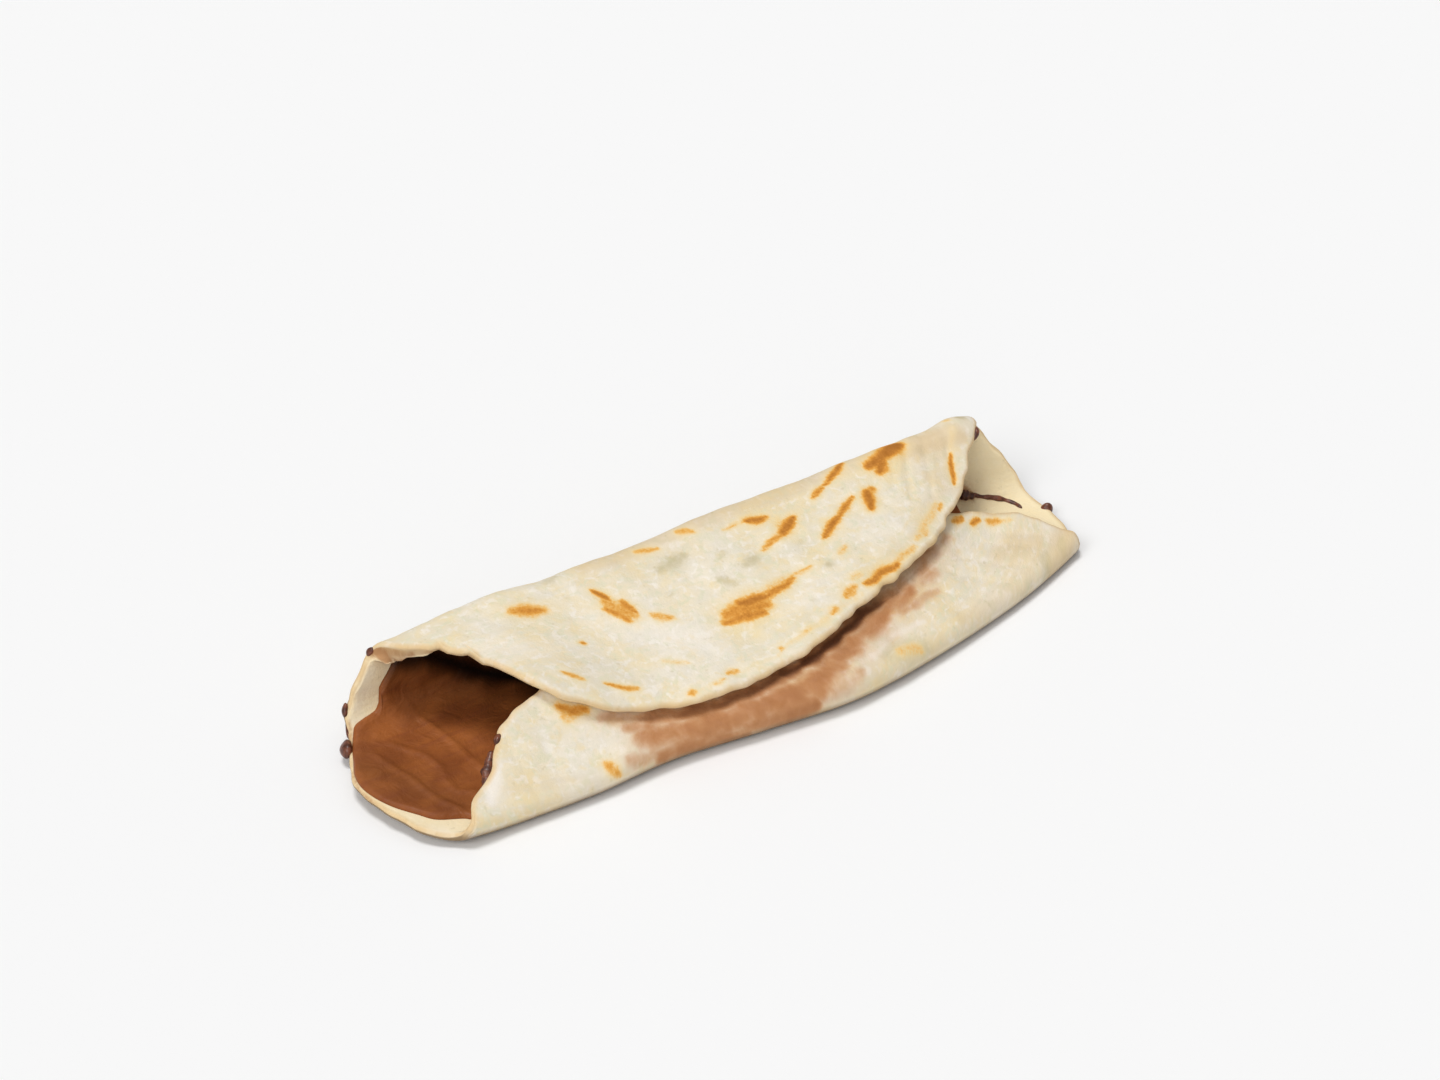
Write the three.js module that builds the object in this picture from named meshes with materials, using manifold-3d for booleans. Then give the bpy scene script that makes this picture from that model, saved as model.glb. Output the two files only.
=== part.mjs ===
// A round flatbread spread with chocolate and folded into a roll that lies on its flat underside.
// Millimetres, +Z up. x runs along the roll from its open near end, y from the front fold to the back wall.
// A place on the bread is given as (x, v): v is the distance across the round, measured along the bread.
import * as THREE from 'three';
import ManifoldModule from 'manifold-3d';
import { mergeVertices } from 'three/addons/utils/BufferGeometryUtils.js';

const DOUGH = 2.4;            // thickness of the bread
const RIM_BULGE = 0.8;        // how far the rounded rim stands out beyond its two faces
const RIDGE_V = 57;           // where the upper back fold lies across the round
const HIDDEN_REACH = 1.6;     // how far the tucked front flap could run, as a share of the roof above it
const FLAP_RUN = 50;          // length that the top flap could run down over the front wall
const SPREAD_CLEARANCE = 0.3; // gap between the chocolate and the bread
const SPREAD_THIN = 0.45;     // thickness of the chocolate at its edge
const SPREAD_THICK = 1.3;     // thickness of the chocolate away from its edge
const SPREAD_TAPER = 5;       // width over which it thins
const FOLD_SHARE = 0.4;       // share of the front fold's inner radius that the chocolate fills
const RIPPLE_HEIGHT = 1.1;    // the swirl that the knife left in the mouth
const RIPPLE_WIDTH = 2.6;
const NEAR_LIFT = 3;          // how far the near tongue curls up off the table
const NEAR_LIFT_START = -78;
const NEAR_LIFT_END = -111;
const FAR_LIFT = 1.2;
const FAR_LIFT_START = 103;
const FAR_LIFT_END = 115;

const OUTLINE_STEPS = 720;    // points on each outline
const BREAD_STATIONS = 46;    // cross-sections along the roll
const SPREAD_STATIONS = 38;
// rows between: tucked end, knee, front wall, front fold, base, back bend, wall, ridge, roof, brow, free rim
const BREAD_ROWS = [3, 2, 3, 6, 6, 4, 2, 4, 6, 2, 2];
const SPREAD_ROWS = [1, 1, 2, 4, 7, 3, 2, 3, 5, 1, 1];

// the roll's cross-section at places along it: folds as (y, z), their radii, and the gap between the flaps
const ALONG = [-110, -80, -60, -36, -8, 22, 55, 85, 115];
const PROFILE = {
  frontY: [3, 2.5, 2, 3.6, 1, -0.8, 4.6, 12.4, 24],
  kneeY: [22, 21, 19.5, 14.8, 13.5, 14.5, 22, 35, 45],
  kneeZ: [24.5, 24.5, 22, 14.8, 12, 11.2, 9.8, 7, 5.6],
  bendY: [57, 57, 58, 58, 58.5, 59.5, 60, 58.5, 54],
  ridgeY: [61, 61, 61, 61, 61.5, 62.5, 63, 63, 63],
  ridgeZ: [25, 27.3, 29, 29.2, 29.2, 29.4, 29.3, 31.3, 35],
  frontRadius: [3.5, 3.5, 3.5, 4, 4, 3.8, 3, 2.3, 2],
  kneeRadius: [12, 12, 13, 15, 16, 17, 18, 17, 14],
  bendRadius: [13, 12, 11, 10, 10, 10, 10, 10, 10],
  ridgeRadius: [5, 5, 5, 5, 4.5, 4.2, 4, 3.5, 3],
  gap: [1.8, 1.8, 1.8, 1.8, 2.2, 2.6, 3, 2.5, 2],
};

// the uneven round lies about (0, ROUND_V): its radius by direction in degrees, from the far end (0)
// by the top flap's free rim (90) and the near tongue (180) to the tucked flap's edge (270)
const ROUND_V = 18;
const BREAD_RADII = [
  [0, 114.3], [5, 114.6], [9, 113.9], [12, 112.2], [15, 109.9], [18, 108.8], [21, 108], [27, 106],
  [35, 103.5], [50, 96.9], [57, 93.9], [65, 91.9], [70, 91.3], [80, 93], [90, 94.2], [100, 96.5],
  [104, 97.7], [110, 98.3], [117, 100.9], [124, 103.2], [128, 102.9], [131, 101.3], [134, 98.8],
  [138, 96.5], [142, 94.6], [145, 94.9], [148, 95.8], [151, 97.5], [155, 99.5], [161, 100.9],
  [167, 104.4], [171, 105], [174, 106.8], [177, 109], [180, 111.7], [183, 113.2], [186, 113.4],
  [189, 113], [192, 112.4], [195, 110.8], [198, 107.5], [202, 104.6], [205, 104.7], [207.5, 103.4],
  [210, 101.2], [213, 100.5], [216, 101], [218, 100.6], [222, 99.6], [227, 96.8], [232, 95], [255, 92.4],
  [275, 95], [300, 102], [320, 107.3], [335, 112.3], [348, 112.8],
];
// the same for the chocolate, which leaves a bare rim and stops short inside the front fold
const SPREAD_RADII = [
  [4, 93], [12, 95], [25, 99], [38, 96.5], [58, 89.5], [72, 88], [100, 93], [122, 97.5], [131, 97],
  [143, 91], [152, 91.5], [157, 92.5], [161, 94.2], [164.5, 96.3], [166, 95.6], [168, 97], [169, 100.5],
  [170, 103.6], [171.5, 104.8], [174, 106.6], [177, 108.9], [180, 111.6], [183, 113.1], [186, 113.1],
  [189, 111.4], [192, 108.4], [194.6, 105.6], [198, 99.2], [205, 98], [208, 99.6], [210, 100.6],
  [213, 100.2], [216, 99.2], [219, 97.5], [222, 93], [234, 74], [252, 61], [275, 59], [300, 65],
  [330, 68], [350, 88],
];
// crest of the swirl in the mouth, and of the thick seam along the front wall
const RIPPLES = [
  [[-96.5, 25], [-91, 15.5], [-90, 8.5], [-91.5, 3.5], [-92, -2], [-87.5, -5]],
  [[-103, 22], [-99.5, 8], [-98, -2], [-95, -9]],
  [[-84, 30], [-82, 18], [-81, 6], [-80, -6]],
  [[-90, -13], [-82, -15], [-70, -15.5], [-55, -15.5]],
];
// small dabs of chocolate on the rim: direction from (0, ROUND_V) in degrees, radius
const DABS = [[173.5, 1.7], [167.5, 1.3], [158, 1.1], [217.2, 1.2], [24, 1.1], [1.1, 1.5]];
const DAB_INSET = 0.3;        // how far inside the bread's outline their middles lie
const DAB_CLEARANCE = 0.05;   // how far they stay off the table

const MATERIALS = {
  chapati: { color: 0xe8d9b4, roughness: 0.85 },
  chocolate: { color: 0x6b3a1c, roughness: 0.4 },
};

const lerp = (a, b, t) => a + (b - a) * t;
const clamp = (value, low, high) => Math.min(high, Math.max(low, value));
const smoothstep = (a, b, value) => {
  const t = clamp((value - a) / (b - a), 0, 1);
  return t * t * (3 - 2 * t);
};

// Smooth curve through the given values, as a function of x.
function smooth(places, values, x) {
  const last = places.length - 1;
  const slope = (i) => {
    const [a, b] = [Math.max(i - 1, 0), Math.min(i + 1, last)];
    return (values[b] - values[a]) / (places[b] - places[a]);
  };
  const at = clamp(x, places[0], places[last]);
  const k = clamp(places.filter((place) => place <= at).length - 1, 0, last - 1);
  const span = places[k + 1] - places[k];
  const t = (at - places[k]) / span;
  return values[k] * (2 * t ** 3 - 3 * t ** 2 + 1) + slope(k) * span * (t ** 3 - 2 * t ** 2 + t)
    + values[k + 1] * (3 * t ** 2 - 2 * t ** 3) + slope(k + 1) * span * (t ** 3 - t ** 2);
}

// Path through corners rounded by arcs, as straight and curved pieces laid end to end.
function roundedPath(corners, radii) {
  const pieces = [];
  let [y, z] = corners[0];
  for (let k = 1; k < corners.length; k += 1) {
    const [a, b] = [corners[k - 1], corners[k]];
    const heading = Math.atan2(b[1] - a[1], b[0] - a[0]);
    const isLast = k === corners.length - 1;
    const c = isLast ? b : corners[k + 1];
    const nextHeading = isLast ? heading : Math.atan2(c[1] - b[1], c[0] - b[0]);
    const turn = Math.atan2(Math.sin(nextHeading - heading), Math.cos(nextHeading - heading));
    const reach = Math.abs(radii[k] * Math.tan(turn / 2));
    const length = Math.max(0, Math.hypot(b[0] - y, b[1] - z) - reach);
    pieces.push({ y, z, heading, length, curvature: 0 });
    y += length * Math.cos(heading);
    z += length * Math.sin(heading);
    if (!isLast) {
      const curvature = Math.sign(turn) / radii[k];
      pieces.push({ y, z, heading, length: Math.abs(turn) * radii[k], curvature });
      y += (Math.sin(nextHeading) - Math.sin(heading)) / curvature;
      z += (Math.cos(heading) - Math.cos(nextHeading)) / curvature;
    }
  }
  return pieces;
}

// How far the two ends of the roll curl up off the table.
function lift(x) {
  const near = Math.max(0, (NEAR_LIFT_START - x) / (NEAR_LIFT_START - NEAR_LIFT_END));
  const far = Math.max(0, (x - FAR_LIFT_START) / (FAR_LIFT_END - FAR_LIFT_START));
  return NEAR_LIFT * near ** 2 + FAR_LIFT * far ** 2;
}

// Middle of the bread across the roll at x, from the tucked end over every fold to the free rim.
function crossSection(x) {
  const of = (name) => smooth(ALONG, PROFILE[name], x);
  const half = DOUGH / 2;
  const radius = of('frontRadius');
  const knee = [of('kneeY'), of('kneeZ')];
  const ridge = [of('ridgeY'), of('ridgeZ')];
  // the front fold is a circle on the table, and the front wall is its tangent through the knee
  const centre = [of('frontY') + 0.36 * (radius + half), radius + half];
  const [dy, dz] = [knee[0] - centre[0], knee[1] - centre[1]];
  const slope = Math.atan2(dz, dy) - Math.asin(radius / Math.hypot(dy, dz));
  const front = [centre[0] - radius / Math.tan(slope / 2), half];
  const roofSlope = Math.atan2(ridge[1] - knee[1], ridge[0] - knee[0]);
  // the brow is where the top flap passes over the knee
  const layer = DOUGH + of('gap');
  const middle = (slope + roofSlope) / 2 + Math.PI / 2;
  const away = layer / Math.cos((slope - roofSlope) / 2);
  const brow = [knee[0] + away * Math.cos(middle), knee[1] + away * Math.sin(middle)];
  const tucked = [
    knee[0] + HIDDEN_REACH * (ridge[0] - brow[0]),
    knee[1] + HIDDEN_REACH * (ridge[1] - brow[1]),
  ];
  const free = [brow[0] - FLAP_RUN * Math.cos(slope), brow[1] - FLAP_RUN * Math.sin(slope)];
  const corners = [tucked, knee, front, [of('bendY'), half], ridge, brow, free];
  const kneeRadius = of('kneeRadius');
  const radii = [0, kneeRadius - layer, radius, of('bendRadius'), of('ridgeRadius'), kneeRadius, 0];
  const pieces = roundedPath(corners, radii);
  const starts = [0];
  pieces.forEach((piece) => starts.push(starts[starts.length - 1] + piece.length));
  const ridgeMiddle = (starts[7] + starts[8]) / 2;
  const breaks = starts.slice(1, -1).map((start) => start - ridgeMiddle + RIDGE_V);
  return { x, pieces, breaks, origin: RIDGE_V - ridgeMiddle, raise: lift(x), foldRadius: radius - half };
}

// Point of the cross-section at v, moved out of the middle by offset towards the outer face.
function pointAt(section, v, offset) {
  const { pieces, breaks } = section;
  const index = breaks.findIndex((end) => v < end);
  const piece = pieces[index < 0 ? pieces.length - 1 : index];
  const start = index === 0 ? section.origin : breaks[(index < 0 ? pieces.length - 1 : index) - 1];
  const s = v - start;
  const heading = piece.heading + piece.curvature * s;
  let [y, z] = [piece.y + s * Math.cos(piece.heading), piece.z + s * Math.sin(piece.heading)];
  if (piece.curvature !== 0) {
    y = piece.y + (Math.sin(heading) - Math.sin(piece.heading)) / piece.curvature;
    z = piece.z + (Math.cos(piece.heading) - Math.cos(heading)) / piece.curvature;
  }
  const across = y + offset * Math.sin(heading);
  const up = z - offset * Math.cos(heading) + section.raise;
  return new THREE.Vector3(section.x, across, up);
}

// Closed smooth outline, as points (x, v), from radii by direction.
function outline(radii) {
  const turns = [-360, 0, 360].flatMap((turn) => (
    radii.map(([direction, radius]) => [direction + turn, radius])
  ));
  const directions = turns.map(([direction]) => direction);
  const lengths = turns.map(([, radius]) => radius);
  return Array.from({ length: OUTLINE_STEPS + 1 }, (_, i) => {
    const direction = (360 * i) / OUTLINE_STEPS;
    const angle = THREE.MathUtils.degToRad(direction);
    const radius = smooth(directions, lengths, direction);
    return new THREE.Vector2(radius * Math.cos(angle), ROUND_V + radius * Math.sin(angle));
  });
}

// Lowest and highest v of an outline at x.
function span(edge, x) {
  const crossings = [];
  for (let i = 0; i < edge.length - 1; i += 1) {
    const [a, b] = [edge[i], edge[i + 1]];
    if ((a.x - x) * (b.x - x) <= 0 && a.x !== b.x) {
      crossings.push(lerp(a.y, b.y, (x - a.x) / (b.x - a.x)));
    }
  }
  return [Math.min(...crossings), Math.max(...crossings)];
}

function distanceTo(points, x, v) {
  return Math.min(...points.map((point) => Math.hypot(point.x - x, point.y - v)));
}

// Distance from (x, v) to a crest line given by its corners.
function distanceToLine(corners, x, v) {
  let nearest = Infinity;
  for (let i = 0; i < corners.length - 1; i += 1) {
    const [[ax, av], [bx, bv]] = [corners[i], corners[i + 1]];
    const length2 = (bx - ax) ** 2 + (bv - av) ** 2;
    const t = clamp(((x - ax) * (bx - ax) + (v - av) * (bv - av)) / length2, 0, 1);
    nearest = Math.min(nearest, Math.hypot(x - lerp(ax, bx, t), v - lerp(av, bv, t)));
  }
  return nearest;
}

// Columns of (x, v) places inside an outline: one column a station, its rows set by the folds.
function columnsInside(edge, stations, rows) {
  const low = Math.min(...edge.map((point) => point.x));
  const high = Math.max(...edge.map((point) => point.x));
  const columns = [];
  for (let i = 0; i <= stations; i += 1) {
    const x = lerp(low, high, (1 - Math.cos((Math.PI * i) / stations)) / 2);
    const inside = clamp(x, low + 0.02, high - 0.02);
    const [from, to] = span(edge, inside);
    const section = crossSection(inside);
    const ends = [from, ...section.breaks.map((v) => clamp(v, from, to)), to];
    const places = [from];
    rows.forEach((count, k) => {
      for (let j = 1; j <= count; j += 1) {
        places.push(lerp(ends[k], ends[k + 1], j / count));
      }
    });
    const isTip = i === 0 || i === stations;
    columns.push({ section, places: isTip ? places.map(() => (from + to) / 2) : places });
  }
  return columns;
}

// Closed body between two faces over the columns, with its rim strip pushed out by bulge.
function sheet(columns, outerOffset, innerOffset, bulge) {
  const rowCount = columns[0].places.length;
  const stationCount = columns.length;
  const positions = [];
  const faces = [];
  const face = (offset) => columns.flatMap(({ section, places }) => (
    places.map((v) => pointAt(section, v, offset(section, v)))
  ));
  const outer = face(outerOffset);
  const inner = face(innerOffset);
  const at = (i, j) => i * rowCount + j;
  const cell = (a, b, c, d) => faces.push(a, b, c, a, c, d);
  for (let i = 0; i < stationCount - 1; i += 1) {
    for (let j = 0; j < rowCount - 1; j += 1) {
      const corners = [at(i, j), at(i, j + 1), at(i + 1, j + 1), at(i + 1, j)];
      cell(...corners);
      cell(...corners.reverse().map((k) => k + outer.length));
    }
  }
  const loop = [];
  for (let i = 0; i < stationCount; i += 1) {
    loop.push(at(i, 0));
  }
  for (let i = stationCount - 1; i >= 0; i -= 1) {
    loop.push(at(i, rowCount - 1));
  }
  const rim = loop.map((k, n) => {
    const before = outer[loop[(n + loop.length - 1) % loop.length]];
    const after = outer[loop[(n + 1) % loop.length]];
    const normal = outer[k].clone().sub(inner[k]).normalize();
    const outward = normal.cross(after.clone().sub(before)).normalize();
    return outer[k].clone().add(inner[k]).multiplyScalar(0.5).addScaledVector(outward, bulge);
  });
  loop.forEach((k, n) => {
    const next = (n + 1) % loop.length;
    const [a, b] = [2 * outer.length + n, 2 * outer.length + next];
    cell(k, loop[next], b, a);
    cell(a, b, loop[next] + outer.length, k + outer.length);
  });
  [...outer, ...inner, ...rim].forEach((p) => positions.push(p.x, p.y, p.z));
  return weld(positions, faces);
}

// Shared corners and no flat triangles.
function weld(positions, faces) {
  const geometry = new THREE.BufferGeometry();
  geometry.setAttribute('position', new THREE.Float32BufferAttribute(positions, 3));
  geometry.setIndex(faces);
  const merged = mergeVertices(geometry, 0.01);
  const index = merged.index.array;
  const kept = [];
  for (let i = 0; i < index.length; i += 3) {
    const [a, b, c] = [index[i], index[i + 1], index[i + 2]];
    if (a !== b && b !== c && c !== a) {
      kept.push(a, b, c);
    }
  }
  merged.setIndex(kept);
  return merged;
}

// Thickness of the chocolate: thin at its edge and in the tight front fold, with the swirl in the mouth.
function spreadThickness(edge, section, v) {
  const { x, breaks, foldRadius } = section;
  const taper = smoothstep(0, SPREAD_TAPER, distanceTo(edge, x, v));
  const swirl = RIPPLES.reduce(
    (sum, crest) => sum + RIPPLE_HEIGHT * Math.exp(-((distanceToLine(crest, x, v) / RIPPLE_WIDTH) ** 2)),
    0,
  );
  const thickness = lerp(SPREAD_THIN, SPREAD_THICK + swirl, taper);
  const foldLimit = Math.max(SPREAD_THIN, FOLD_SHARE * foldRadius);
  const nearFold = 1 - smoothstep(breaks[3], breaks[3] + SPREAD_TAPER, v);
  return lerp(thickness, Math.min(thickness, foldLimit), nearFold);
}

function toManifold(wasm, geometry) {
  const mesh = new wasm.Mesh({
    numProp: 3,
    vertProperties: new Float32Array(geometry.attributes.position.array),
    triVerts: new Uint32Array(geometry.index.array),
  });
  return new wasm.Manifold(mesh);
}

function fromManifold(solid) {
  const mesh = solid.getMesh();
  const geometry = new THREE.BufferGeometry();
  geometry.setAttribute('position', new THREE.Float32BufferAttribute(mesh.vertProperties, 3));
  geometry.setIndex([...mesh.triVerts]);
  return geometry;
}

function chapati(wasm) {
  const edge = outline(BREAD_RADII);
  const columns = columnsInside(edge, BREAD_STATIONS, BREAD_ROWS);
  const body = sheet(columns, () => DOUGH / 2, () => -DOUGH / 2, RIM_BULGE);
  const parts = DABS.map(([direction, radius]) => {
    const onRim = edge[Math.round((direction * OUTLINE_STEPS) / 360)];
    const share = 1 - DAB_INSET / Math.hypot(onRim.x, onRim.y - ROUND_V);
    const centre = pointAt(crossSection(onRim.x * share), lerp(ROUND_V, onRim.y, share), 0);
    const blob = new THREE.IcosahedronGeometry(radius, 1);
    blob.deleteAttribute('normal');
    blob.deleteAttribute('uv');
    const height = Math.max(centre.z, radius + DAB_CLEARANCE);
    return toManifold(wasm, mergeVertices(blob).translate(centre.x, centre.y, height));
  });
  return fromManifold(wasm.Manifold.union([toManifold(wasm, body), ...parts]));
}

function chocolate() {
  const edge = outline(SPREAD_RADII);
  const columns = columnsInside(edge, SPREAD_STATIONS, SPREAD_ROWS);
  const top = -DOUGH / 2 - SPREAD_CLEARANCE;
  return sheet(columns, () => top, (section, v) => top - spreadThickness(edge, section, v), 0);
}

const wasm = await ManifoldModule();
wasm.setup();

const roll = new THREE.Group();
roll.name = 'chocolate_chapati_roll';
const shapes = { chapati: chapati(wasm), chocolate: chocolate() };
Object.entries(shapes).forEach(([name, geometry]) => {
  const mesh = new THREE.Mesh(geometry, new THREE.MeshStandardMaterial(MATERIALS[name]));
  mesh.name = name;
  roll.add(mesh);
});

// the frame's origin is the middle of the roll's footprint
const middle = new THREE.Box3().setFromObject(roll).getCenter(new THREE.Vector3());
roll.children.forEach((mesh) => mesh.geometry.translate(-middle.x, -middle.y, 0));

export default roll;
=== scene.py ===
"""A round flatbread spread with chocolate and folded into a roll, on a bare white table.

Sizes are in millimetres until a mesh is made. A place on the bread is (x, v): x runs along the roll
from its open near end, and v is the distance across the round, measured along the bread.
"""
import math

import bpy
import numpy as np
from mathutils import Matrix, Vector


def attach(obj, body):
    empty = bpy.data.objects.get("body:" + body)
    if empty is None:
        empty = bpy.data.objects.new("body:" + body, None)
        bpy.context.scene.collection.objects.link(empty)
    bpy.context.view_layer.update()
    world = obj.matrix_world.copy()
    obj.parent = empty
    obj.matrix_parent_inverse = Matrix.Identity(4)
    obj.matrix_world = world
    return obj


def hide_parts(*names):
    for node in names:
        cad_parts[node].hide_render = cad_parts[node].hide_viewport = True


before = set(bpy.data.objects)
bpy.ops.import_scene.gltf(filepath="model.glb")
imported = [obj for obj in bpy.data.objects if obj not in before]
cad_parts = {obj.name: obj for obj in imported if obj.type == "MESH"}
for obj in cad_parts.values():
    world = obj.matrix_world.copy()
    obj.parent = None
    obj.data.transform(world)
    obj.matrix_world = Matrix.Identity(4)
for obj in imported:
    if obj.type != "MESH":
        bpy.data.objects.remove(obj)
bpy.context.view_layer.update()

MM = 0.001
MIDDLE = (0.851, 29.695)      # middle of the roll's footprint, which is the frame's origin

# ---------------------------------------------------------------- the roll's shape, as in the CAD
DOUGH = 2.4                   # thickness of the bread
RIM_BULGE = 0.8               # how far the rounded rim stands out
RIM_ROUND = 1.5               # width over which the rim rounds off
RIDGE_V = 57.0                # where the upper back fold lies across the round
FRONT_INSET = 0.36            # how far behind front_y the front fold's middle lies, as a share of its size
HIDDEN_REACH = 1.6            # how far the tucked front flap could run, as a multiple of the roof above it
FLAP_RUN = 50.0               # length that the top flap could run down over the front wall
# how high each end curls up off the table, and the x where that starts and ends
NEAR_LIFT, NEAR_LIFT_START, NEAR_LIFT_END = 3.0, -78.0, -111.0
FAR_LIFT, FAR_LIFT_START, FAR_LIFT_END = 1.2, 103.0, 115.0

# places along the roll, and the measures of its cross-section at each
ALONG = [-110, -80, -60, -36, -8, 22, 55, 85, 115]
PROFILE = {
    "front_y": [3, 2.5, 2, 3.6, 1, -0.8, 4.6, 12.4, 24],
    "knee_y": [22, 21, 19.5, 14.8, 13.5, 14.5, 22, 35, 45],
    "knee_z": [24.5, 24.5, 22, 14.8, 12, 11.2, 9.8, 7.0, 5.6],
    "bend_y": [57, 57, 58, 58, 58.5, 59.5, 60, 58.5, 54],
    "ridge_y": [61, 61, 61, 61, 61.5, 62.5, 63, 63, 63],
    "ridge_z": [25, 27.3, 29, 29.2, 29.2, 29.4, 29.3, 32.2, 36],
    "front_radius": [3.5, 3.5, 3.5, 4, 4, 3.8, 3, 2.3, 2],
    "knee_radius": [12, 12, 13, 15, 16, 17, 18, 17, 14],
    "bend_radius": [13, 12, 11, 10, 10, 10, 10, 10, 10],
    "ridge_radius": [5, 5, 5, 5, 4.5, 4.2, 4, 3.5, 3],
    "gap": [1.8, 1.8, 1.8, 1.8, 2.2, 2.6, 3, 2.5, 2],
}

# radius of the uneven round about (0, ROUND_V), by direction in degrees
ROUND_V = 18.0
BREAD_RADII = [
    (0, 114.3), (5, 114.6), (9, 114.4), (12, 112.9), (15, 110.7), (18, 109.4), (21, 108.4), (27, 106),
    (35, 103.5), (50, 96.9), (57, 93.9), (65, 91.9), (70, 91.3), (80, 93), (90, 94.2), (100, 96.5),
    (104, 97.7), (110, 98.3), (117, 100.9), (124, 103.2), (128, 102.9), (131, 101.3), (134, 98.8),
    (138, 96.5), (142, 94.6), (145, 94.9), (148, 95.8), (151, 97.5), (155, 99.5), (161, 100.9),
    (167, 104.4), (171, 105), (174, 106.8), (177, 109), (180, 111.7), (183, 113.0), (186, 112.7),
    (189, 112.1), (192, 111.5), (195, 110.3), (198, 107.5), (202, 104.6), (205, 104.7), (207.5, 103.4),
    (210, 101.2), (213, 100.5), (216, 101), (218, 100.6), (222, 99.6), (227, 96.8), (232, 95),
    (255, 92.4), (275, 95), (300, 102), (320, 107.3), (335, 112.3), (348, 112.8),
]
SPREAD_RADII = [
    (4, 93), (12, 95), (25, 99), (38, 96.5), (58, 89.5), (72, 88), (100, 93), (122, 97.5), (131, 97),
    (143, 91), (152, 91.5), (157, 92.5), (161, 94.2), (164.5, 96.3), (166, 95.6), (168, 97), (169, 100.5),
    (170, 103.6), (171.5, 104.8), (174, 106.6), (177, 108.9), (180, 111.6), (183, 112.9), (186, 112.4),
    (189, 110.6), (192, 107.8), (194.6, 105.6), (198, 99.2), (205, 98), (208, 99.6), (210, 100.6),
    (213, 100.2), (216, 99.2), (219, 97.5), (222, 93), (234, 74), (252, 61), (275, 59), (300, 65),
    (330, 68), (350, 88),
]

# ---------------------------------------------------------------- mesh density
OUTLINE_STEPS = 720
TIP_RUN = 5.0                 # length at each end over which the cross-sections crowd together
TIP_STEPS = 10
BREAD_STATIONS = 256
SPREAD_STATIONS = 230
RIM_ROWS = 5
RIM_ROWS_WIDTH = 1.8
RIM_ROWS_SHARE = 0.2          # most of a column's length that they take at either end
END_INSET = 0.01              # how far inside the outline's two ends its columns are measured
# rows in each piece of the cross-section: tucked flap, knee, front wall, front fold, base, back bend,
# back wall, ridge, roof, brow and top flap
BREAD_ROWS = [4, 6, 26, 10, 10, 8, 6, 14, 44, 10, 12]
SPREAD_ROWS = [2, 6, 22, 18, 40, 20, 10, 10, 16, 4, 4]
LUMP_SECTORS = 20
DAB_RINGS = 15
BEAD_RINGS = 48
LOWEST = 0.02                 # how far the dabs stay clear of the table

# ---------------------------------------------------------------- relief of the bread
WAVES = [(34.0, 0.22, 3), (13.0, 0.10, 8), (5.5, 0.045, 5)]   # wavelength, height, seed
WAVE_COUNT = 10               # plane waves in each field
WAVE_STRETCH = (0.7, 1.4)     # range of their wavelengths, as a multiple of the field's
TABLE_FADE = 12.0             # distance from the part that lies on the table over which waves fade in
# creases that cross the sheet: from (x, v) to (x, v), depth, width
CREASES = [
    (77, 58, 69, 76, 0.35, 1.0), (83, 58, 76, 77, 0.30, 1.0), (90, 58, 85, 74, 0.30, 0.9),
    (71, 60, 66, 72, 0.20, 0.9), (82, -43, 97, -20, 0.25, 1.0), (75, -42, 91, -17, 0.30, 1.1),
    (68, -41, 84, -18, 0.25, 1.1), (62, -36, 76, -19, 0.25, 1.0), (90, -38, 103, -17, 0.20, 0.9),
    (-15, 71, -3, 75.5, 0.25, 0.9), (-16, 74, -2, 78.5, 0.20, 0.9), (-12, 66, -1, 67, 0.15, 0.8),
    (-92, -38, -88, -22, 0.20, 1.2), (-80, -44, -77, -24, 0.22, 1.3), (-70, -42, -69, -25, 0.18, 1.2),
]
# blisters on the outer face: x, v, radius, height
BLISTERS = [
    (-6.8, 68.6, 3.6, 0.45), (1.4, 79.7, 2.2, 0.35), (13.5, 78.2, 2.6, 0.35), (32.4, 88.3, 1.8, 0.30),
    (-50.3, 67.4, 5.0, 0.35), (-28.5, 78.5, 5.0, 0.30), (4, 92.5, 5.5, 0.35), (70, 61, 5.5, 0.35),
    (45, 74, 4.0, 0.25), (25, 72, 4.0, 0.25), (-19.4, 84.2, 2.6, 0.20), (-54.5, -27.2, 2.4, 0.25),
    (94.5, 57, 5.5, 1.4), (-54, 58, 6.0, 0.9), (38, -31, 3.5, 0.25), (-40, 60, 2.2, 0.25),
    (56.6, 72.5, 2.6, 0.25), (86, 70, 2.0, 0.20),
]
RELIEF_FADE = 2.0             # distance from the rim over which blisters and curls fade in

# ---------------------------------------------------------------- wear of the bread's rim
RIM_WEAR = 0.16               # height of each of the small waves round the rim
WEAR_WAVES = (17, 90)         # range of how often one goes up and down on its way round
WEAR_COUNT = 14               # how many there are
WEAR_SEED = 12
# nicks: direction, depth, half width in degrees
NICKS = [
    (146.8, 1.7, 0.7), (141.5, 1.3, 1.1), (139.3, -0.9, 1.0), (166.0, 0.6, 1.2), (62.0, 0.5, 1.5),
    (41.0, 0.6, 1.2),
]
# the lip that curls in at the near back corner: from (x, v) to (x, v), half width, height
CURLS = [(-92.0, 57.5, -88.5, 62.5, 3.4, 4.6), (-88.5, 62.5, -83.5, 67.0, 2.6, 2.8)]

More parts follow.
